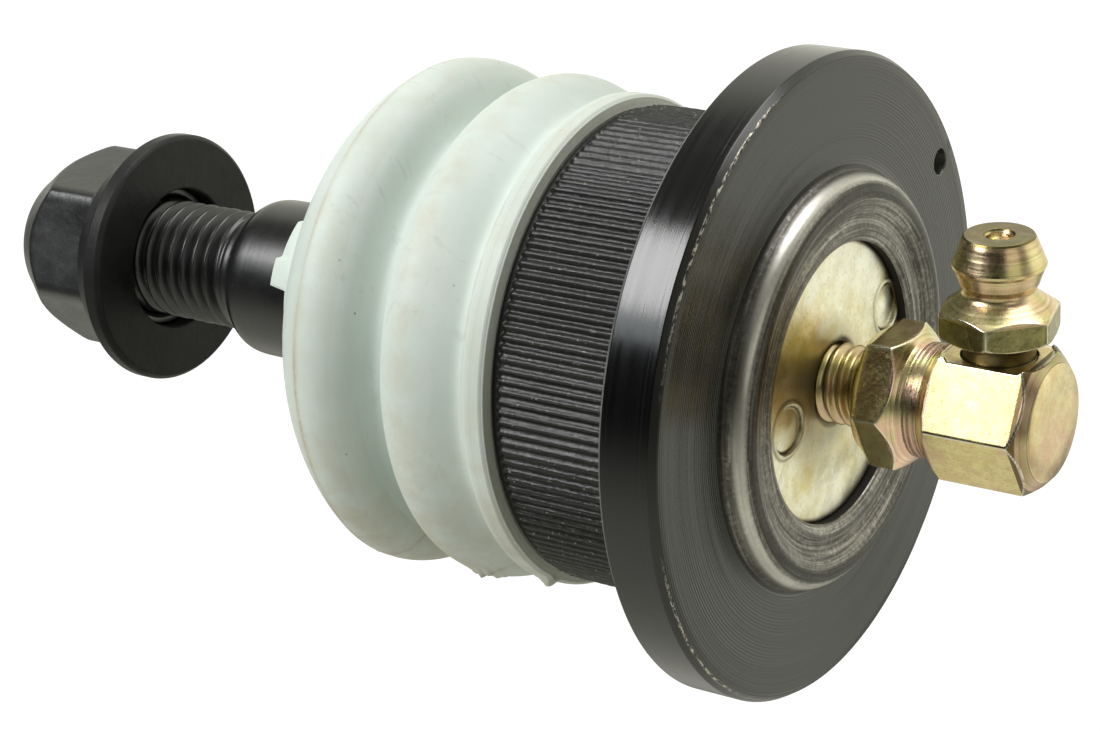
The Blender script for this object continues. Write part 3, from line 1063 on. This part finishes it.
def boot():
    lip = polyline([(-9.0, 16.95), (-8.95, 15.95, 0.15), (-6.05, 15.95, 0.1), (-6.05, 17.95, 0.04), (-5.95, 18.0, 0.03), (-6.12, 18.72, 0.12), (-6.45, 18.95, 0.16), (-7.75, 18.96)], 5)
    lip = fill(lip, 0.35)
    outer_a = spline([(-7.75, 18.96), (-7.98, 18.72), (-8.35, 18.10), (-8.85, 17.98), (-9.6, 18.30), (-10.6, 18.90), (-11.8, 19.40), (-13.3, 19.6), (-14.6, 19.2), (-15.6, 18.3), (-16.3, 17.0), (-16.9, 16.2)], 100)
    inner_a = spline([(-16.9, 14.7), (-15.0, 17.3), (-13.2, 18.2), (-11.3, 17.6), (-10.0, 16.95)], 26)
    close_a = np.array([(-10.0, 16.95), (-9.0, 16.95)])
    outer_b = spline([(-16.9, 16.2), (-17.5, 16.35), (-18.6, 18.1), (-20.0, 19.55), (-21.6, 20.0), (-22.35, 19.9), (-23.2, 19.45), (-24.3, 18.6), (-26.1, 16.6), (-28.2, 13.6), (-30.0, 10.6), (-30.9, 8.95)], 150)
    collar = fill(polyline([(-30.9, 8.95), (-31.15, 8.8, 0.2), (-32.35, 8.55, 0.2), (-32.65, 8.25, 0.15), (-32.7, 7.9, 0.1), (-32.7, 6.95, 0.15), (-32.4, 6.6, 0.1), (-30.3, 6.6)], 4), 0.3)
    inner_b = spline([(-30.3, 6.6), (-28.7, 9.7), (-27.0, 12.7), (-24.9, 15.8), (-23.3, 17.5), (-21.5, 18.6), (-19.3, 17.3), (-16.9, 14.7)], 40)
    # the boot is two pieces so that it bends across two joints; each takes half the squeeze of a full swing
    outer_a, outer_b = cut_at(join(outer_a, outer_b), SEAM)
    inner_b, inner_a = cut_at(join(inner_b, inner_a), SEAM)
    made = []
    flash = math.radians(180 + 53)

    def shape(x, r, a, outer):
        """Hand-made irregularity, the same function for both halves so that they meet."""
        d = ((a - flash + pi) % (2 * pi)) - pi
        d2 = ((a - flash) % (2 * pi)) - pi
        out = outer
        loose = smooth_step(-9.2, -12.5, x) * smooth_step(-31.5, -28.0, x)
        r = r + out * loose * (0.09 * np.sin(2 * a + 0.6 + 0.09 * x) + 0.05 * np.sin(3 * a + 2.1 - 0.2 * x) + 0.03 * np.sin(5 * a + 0.31 * x))
        # witness line of the two mould halves, standing proud on the ridges
        for dd, s in ((d, 1.0), (d2, 0.5)):
            r = r + out * s * 0.035 * np.exp(-((dd / 0.006) ** 2)) * smooth_step(-5.9, -7.0, x)
        return x, r

    def change_a(x, r, a):
        inner = (r < 18.3) & (x > -16.6) & (x < -9.5)
        deep = x > -9.05
        out = np.where(outer_mask_a[:, None] & (r > 0), 1.0, 0.0)
        x, r = shape(x, r, a, out)
        # ragged flash on the lip's corner and on the ridge, at the mould line
        d = np.degrees(((a - flash + pi) % (2 * pi)) - pi)
        tear = np.exp(-((d / 2.0) ** 2)) + 0.5 * np.exp(-(((d - 6.5) / 1.4) ** 2))
        r = r + out * 0.55 * tear * np.exp(-(((x + 12.2) / 0.9) ** 2)) * (0.8 + 0.2 * np.sin(9 * x))
        r = r + out * 0.60 * np.exp(-(((d - 1) / 1.6) ** 2)) * np.exp(-(((x + 6.7) / 0.6) ** 2))
        # the lip's end edge isn't true
        edge = np.exp(-(((x + 6.1) / 0.25) ** 2)) * out * (r > 18.3)
        r = r + edge * 0.05 * wander(a, 8, 20, 4)
        x = x + edge * 0.04 * wander(a, 9, 24, 3)
        return x, r

    def change_b(x, r, a):
        out = np.where(outer_mask_b[:, None] & (r > 0), 1.0, 0.0)
        x, r = shape(x, r, a, out)
        # circumferential mould line just behind the big ridge
        r = r + out * 0.07 * np.exp(-(((x + 22.3) / 0.12) ** 2))
        # one tab of flash standing off the neck's end
        th = np.degrees(a)
        tab = smooth_step(118.5, 120.2, th) * (1 - smooth_step(159.5, 161, th))
        end = smooth_step(-32.2, -32.66, x) * (r > 7.1) * (r < 8.7)
        step = smooth_step(142.5, 144.2, th)
        x = x - (0.95 + 0.55 * step) * tab * end
        return x, r

    for name, section, outer_n, change, bodies, start, end in (
        ("boot_housing_side", join(lip, outer_a), None, change_a, ("body", "race"), (-0.0079, 0, 0), (SEAM * MM, 0, 0)),
        ("boot_stud_side", join(outer_b, collar, inner_b), None, change_b, ("race", "boot_neck"), (SEAM * MM, 0, 0), (-0.0306, 0, 0)),
    ):
        if name == "boot_housing_side":
            section = join(inner_a, close_a, lip, outer_a)
            outer_mask_a = np.zeros(len(section), bool)
            outer_mask_a[len(inner_a) + 1 + 1:] = True
            outer_mask_a &= (section[:, 1] > 17.5) | (section[:, 0] < -9.2)
            # run from outer to inner so that the faces look outwards
        else:
            outer_mask_b = np.zeros(len(section), bool)
            outer_mask_b[: len(outer_b) + len(collar) - 14] = True
        o = lathe(name, section, 400, False, change, materials=(M_BOOT,))
        me = o.data
        n = len(me.vertices)
        co = np.zeros(n * 3, np.float32)
        me.vertices.foreach_get("co", co)
        rest = me.attributes.new("rest", "FLOAT_VECTOR", "POINT")
        rest.data.foreach_set("vector", co)
        p = co.reshape(-1, 3) / MM
        x, rr, ang = p[:, 0], np.hypot(p[:, 1], p[:, 2]), np.arctan2(p[:, 2], p[:, 1])
        stain = 0.55 * np.exp(-(((x + 22.3) / 0.35) ** 2)) * (rr > 19) * (0.5 + 0.5 * wander(ang, 21, 9, 2))
        stain += 0.42 * np.exp(-(((x + 13.2) / 1.5) ** 2)) * (rr > 19.0) * (0.55 + 0.45 * wander(ang, 22, 7, 1))
        stain += 0.35 * np.exp(-(((x + 6.9) / 0.8) ** 2)) * (rr > 18.4) * (0.5 + 0.5 * wander(ang, 23, 9, 1))
        stain += 0.25 * np.exp(-(((x + 20.8) / 2.2) ** 2)) * (rr > 19.2) * (0.5 + 0.5 * wander(ang, 24, 6, 1))
        stain += 0.45 * np.exp(-(((x + 8.5) / 0.25) ** 2)) * (rr > 18)
        low = smooth_step(0.2, -0.9, np.sin(ang)) * smooth_step(0.5, -0.3, np.cos(ang))
        stain += 0.65 * low * (rr > 17.5) * (0.6 + 0.4 * wander(ang, 25, 8, 2))
        stain = np.clip(1.5 * stain, 0, 1)
        st = me.attributes.new("stain", "FLOAT", "POINT")
        st.data.foreach_set("value", stain.astype(np.float32))
        seam = 0.85 * np.exp(-(((x + 22.3) / 0.13) ** 2)) * (rr > 19) * np.clip(0.55 + 0.9 * wander(ang, 31, 14, 2), 0, 1)
        dang = ((ang - flash + pi) % (2 * pi)) - pi
        seam = np.maximum(seam, 0.45 * np.exp(-((dang / 0.010) ** 2)) * (rr > 17.9))
        sm = me.attributes.new("seam", "FLOAT", "POINT")
        sm.data.foreach_set("value", np.clip(seam, 0, 1).astype(np.float32))
        bd = me.attributes.new("band", "FLOAT", "POINT")
        bd.data.foreach_set("value", (smooth_step(-8.6, -8.0, x) * (rr > 17.9)).astype(np.float32))
        cut = ((x > -6.2) & (rr > 17.9) & (rr < 18.72)).astype(float)
        cut = np.maximum(cut, 0.8 * ((x > -6.3) & (rr <= 17.9)))
        cut = np.maximum(cut, 0.35 * np.exp(-(((x + 6.35) / 0.22) ** 2)) * (rr > 18.6) * np.clip(0.5 + wander(ang, 41, 30, 5), 0, 1))
        ct = me.attributes.new("cut", "FLOAT", "POINT")
        ct.data.foreach_set("value", cut.astype(np.float32))
        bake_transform(o)
        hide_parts("dust_boot")
        made.append(o)
    return made


def check_spring():
    """The coil under the check ball. It shortens as the ball is pushed down, so it bends between the two bodies."""
    low, high, radius, wire, turns = 2.13, 10.16, 1.2, 0.2, 6
    t = np.linspace(0, 2 * pi * turns, 48 * turns + 1)
    z = low + (high - low) * t / t[-1]
    out = np.stack([np.cos(t), np.sin(t), 0 * t], 1)
    along = np.stack([-radius * np.sin(t), radius * np.cos(t), np.full(len(t), (high - low) / t[-1])], 1)
    along /= np.linalg.norm(along, axis=1)[:, None]
    side = np.cross(along, out)
    u = np.arange(12) * 2 * pi / 12
    path = np.stack([NIP + radius * np.cos(t), radius * np.sin(t), z], 1)
    v = path[:, None] + wire * (np.cos(u)[None, :, None] * out[:, None] + np.sin(u)[None, :, None] * side[:, None])
    n = len(t)
    i, j = np.meshgrid(np.arange(n - 1), np.arange(12), indexing="ij")
    i, j = i.ravel(), j.ravel()
    k = (j + 1) % 12
    quads = np.stack([i * 12 + j, i * 12 + k, (i + 1) * 12 + k, (i + 1) * 12 + j], 1)
    caps = [(n * 12, (q + 1) % 12, q) for q in range(12)] + [(n * 12 + 1, (n - 1) * 12 + q, (n - 1) * 12 + (q + 1) % 12) for q in range(12)]
    o = new_mesh("check_spring_coil", np.vstack([v.reshape(-1, 3), path[:1], path[-1:]]), quads, caps)
    o.data.materials.append(plain("check_spring_steel", (0.40, 0.40, 0.41), (0.60, 0.60, 0.60), 0.28, 1.0, 900))
    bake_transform(o)
    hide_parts("nipple_check_spring")
    return o


housing()
cover_plate()
ball_stud()
washer()
stud_nut()
elbow()
nipple()
check_spring()
boot()

# ------------------------------------------------ CAD nodes that stay as they are
carried = {
    "stud_side_seat": plain("seat_polymer_a", (0.42, 0.40, 0.34), (0.52, 0.50, 0.44), 0.5),
    "pressure_seat": plain("seat_polymer_b", (0.42, 0.40, 0.34), (0.52, 0.50, 0.44), 0.5),
    "ball_race": plain("race_polymer_white", (0.62, 0.61, 0.55), (0.72, 0.70, 0.64), 0.4),
    "preload_spring": plain("spring_disc_steel", (0.10, 0.10, 0.11), (0.22, 0.22, 0.23), 0.32, 1.0),
    "boot_lip_ring": plain("lip_ring_steel", (0.30, 0.30, 0.31), (0.48, 0.48, 0.48), 0.3, 1.0),
    "boot_neck_ring": plain("neck_ring_steel", (0.30, 0.30, 0.31), (0.48, 0.48, 0.48), 0.3, 1.0),
    "nipple_check_ball": plain("check_ball_steel", (0.62, 0.56, 0.44), (0.82, 0.76, 0.62), 0.22, 1.0, 900),
}
for n, m in carried.items():
    o = nodes[n]
    o.data.materials.clear()
    o.data.materials.append(m)

# ---------------------------------------------------------------------- camera
F_PX, AZ, EL, ROLL = 2829.6, 35.032, 22.650, -3.917
CAM = Vector((103.98, -167.003, 81.897)) * MM
a, e, c, s = math.radians(AZ), math.radians(EL), math.cos(math.radians(ROLL)), math.sin(math.radians(ROLL))
back = Vector((math.sin(a) * math.cos(e), -math.cos(a) * math.cos(e), math.sin(e)))
right = Vector((math.cos(a), math.sin(a), 0))
up = back.cross(right)
r2, u2 = c * right + s * up, -s * right + c * up
cam = bpy.data.objects.new("camera", bpy.data.cameras.new("camera"))
bpy.context.scene.collection.objects.link(cam)
cam.data.sensor_width = 36
cam.data.lens = F_PX / 1100 * 36
cam.data.clip_start, cam.data.clip_end = 0.01, 50
cam.matrix_world = Matrix(((r2.x, u2.x, back.x, CAM.x), (r2.y, u2.y, back.y, CAM.y), (r2.z, u2.z, back.z, CAM.z), (0, 0, 0, 1)))
bpy.context.scene.camera = cam

# ----------------------------------------------------------------------- studio
FLOOR_Z = -42.0  # clear of the nut at the lowest swing
me = bpy.data.meshes.new("studio_floor")
S = 4.0
me.from_pydata([(-S, -S, FLOOR_Z * MM), (S, -S, FLOOR_Z * MM), (S, S, FLOOR_Z * MM), (-S, S, FLOOR_Z * MM)], [], [(0, 1, 2, 3)])
floor = bpy.data.objects.new("studio_floor", me)
bpy.context.scene.collection.objects.link(floor)
m = bpy.data.materials.new("studio_floor")
m.use_nodes = True
t = m.node_tree
t.nodes.clear()
out, mixer = t.nodes.new("ShaderNodeOutputMaterial"), t.nodes.new("ShaderNodeAddShader")
dif, emi = t.nodes.new("ShaderNodeBsdfDiffuse"), t.nodes.new("ShaderNodeEmission")
dif.inputs[0].default_value = (0.12, 0.12, 0.12, 1)
emi.inputs[0].default_value, emi.inputs[1].default_value = (1, 1, 1, 1), 0.97
t.links.new(dif.outputs[0], mixer.inputs[0])
t.links.new(emi.outputs[0], mixer.inputs[1])
t.links.new(mixer.outputs[0], out.inputs[0])
me.materials.append(m)
floor.visible_glossy = False
floor.visible_diffuse = False
floor.visible_shadow = False


def softbox(name, where, target, width, height, power, colour=(1, 1, 1)):
    light = bpy.data.lights.new(name, "AREA")
    light.shape, light.size, light.size_y = "RECTANGLE", width, height
    light.energy, light.color = power, colour
    o = bpy.data.objects.new(name, light)
    bpy.context.scene.collection.objects.link(o)
    o.location = where
    o.rotation_mode = "QUATERNION"
    o.rotation_quaternion = (Vector(target) - Vector(where)).to_track_quat("-Z", "Y")
    return o


# key: up and to the camera's left, where the rim, the shank and the block's bright flat look
softbox("key", (-0.42, -0.45, 0.57), (0, 0, 0), 0.36, 0.33, 4.2, (1.0, 1.0, 1.0))
softbox("key_lower", (-0.415, -0.615, 0.385), (0, 0, 0), 0.36, 0.11, 0.42, (0.90, 0.97, 1.0))
softbox("top", (0.05, 0.25, 0.75), (0, 0, 0), 0.7, 0.5, 4.6)
fill = softbox("front_fill", (-0.25, -0.78, 0.12), (0, 0, 0), 0.5, 0.5, 3.0)
fill.visible_glossy = False

world = bpy.data.worlds.new("studio")
bpy.context.scene.world = world
world.use_nodes = True
t = world.node_tree
t.nodes.clear()
wout, bg = t.nodes.new("ShaderNodeOutputWorld"), t.nodes.new("ShaderNodeBackground")
t.links.new(bg.outputs[0], wout.inputs[0])
tc = t.nodes.new("ShaderNodeTexCoord")


def wmath(op, a, b=None):
    n = t.nodes.new("ShaderNodeMath")
    n.operation = op
    for sock, v in zip(n.inputs, (a, b)):
        if v is None:
            continue
        if isinstance(v, bpy.types.NodeSocket):
            t.links.new(v, sock)
        else:
            sock.default_value = v
    return n.outputs[0]


def card(direction, inner_deg, outer_deg, level):
    """A soft round patch of light in the surroundings."""
    d = t.nodes.new("ShaderNodeVectorMath")
    d.operation = "DOT_PRODUCT"
    t.links.new(tc.outputs["Generated"], d.inputs[0])
    d.inputs[1].default_value = Vector(direction).normalized()
    n = t.nodes.new("ShaderNodeMapRange")
    n.clamp, n.interpolation_type = True, "SMOOTHSTEP"
    t.links.new(d.outputs["Value"], n.inputs["Value"])
    n.inputs["From Min"].default_value = math.cos(math.radians(outer_deg))
    n.inputs["From Max"].default_value = math.cos(math.radians(inner_deg))
    n.inputs["To Min"].default_value, n.inputs["To Max"].default_value = 0.0, level
    return n.outputs[0]


axes = t.nodes.new("ShaderNodeSeparateXYZ")
t.links.new(tc.outputs["Generated"], axes.inputs[0])


def ramp(value, a, b):
    n = t.nodes.new("ShaderNodeMapRange")
    n.clamp, n.interpolation_type = True, "SMOOTHSTEP"
    t.links.new(value, n.inputs["Value"])
    n.inputs["From Min"].default_value, n.inputs["From Max"].default_value = a, b
    return n.outputs[0]


# pale wall behind the part
wall = wmath("MULTIPLY", ramp(axes.outputs[1], 0.12, 0.50), wmath("MULTIPLY", ramp(axes.outputs[2], -0.58, -0.40), ramp(axes.outputs[2], 0.88, 0.60)))
level = wmath("ADD", 0.012, wmath("MULTIPLY", wall, 0.98))
level = wmath("ADD", level, card((0.0, -0.25, -1.0), 42, 80, 0.75))
level = wmath("ADD", level, card((0.0, -0.1, 1.0), 10, 60, 0.27))
level = wmath("ADD", level, card((1.0, 0.5, 0.3), 10, 50, 0.25))
level = wmath("ADD", level, card((0.84, -0.44, 0.36), 8, 25, 0.80))
level = wmath("ADD", level, card((0.90, -0.20, -0.36), 5, 17, 0.70))
level = wmath("ADD", level, card((0.36, 0.60, -0.71), 9, 21, 0.4))
lp = t.nodes.new("ShaderNodeLightPath")
# the bounce is weaker on matt surfaces than in reflections, as under a small softbox
level = wmath("MULTIPLY", level, wmath("SUBTRACT", 1.0, wmath("MULTIPLY", lp.outputs["Is Diffuse Ray"], 0.45)))
seen = t.nodes.new("ShaderNodeMix")
seen.data_type = "FLOAT"
t.links.new(lp.outputs["Is Camera Ray"], seen.inputs[0])
t.links.new(level, seen.inputs[2])
seen.inputs[3].default_value = 1.0
t.links.new(seen.outputs[0], bg.inputs[1])
tint = t.nodes.new("ShaderNodeMix")
tint.data_type = "RGBA"
t.links.new(lp.outputs["Is Camera Ray"], tint.inputs[0])
tint.inputs[6].default_value = (1.0, 1.0, 0.87, 1)
tint.inputs[7].default_value = (1.0, 1.0, 1.0, 1)
t.links.new(tint.outputs[2], bg.inputs[0])

bpy.context.scene.view_settings.view_transform = "Standard"
bpy.context.scene.view_settings.look = "None"
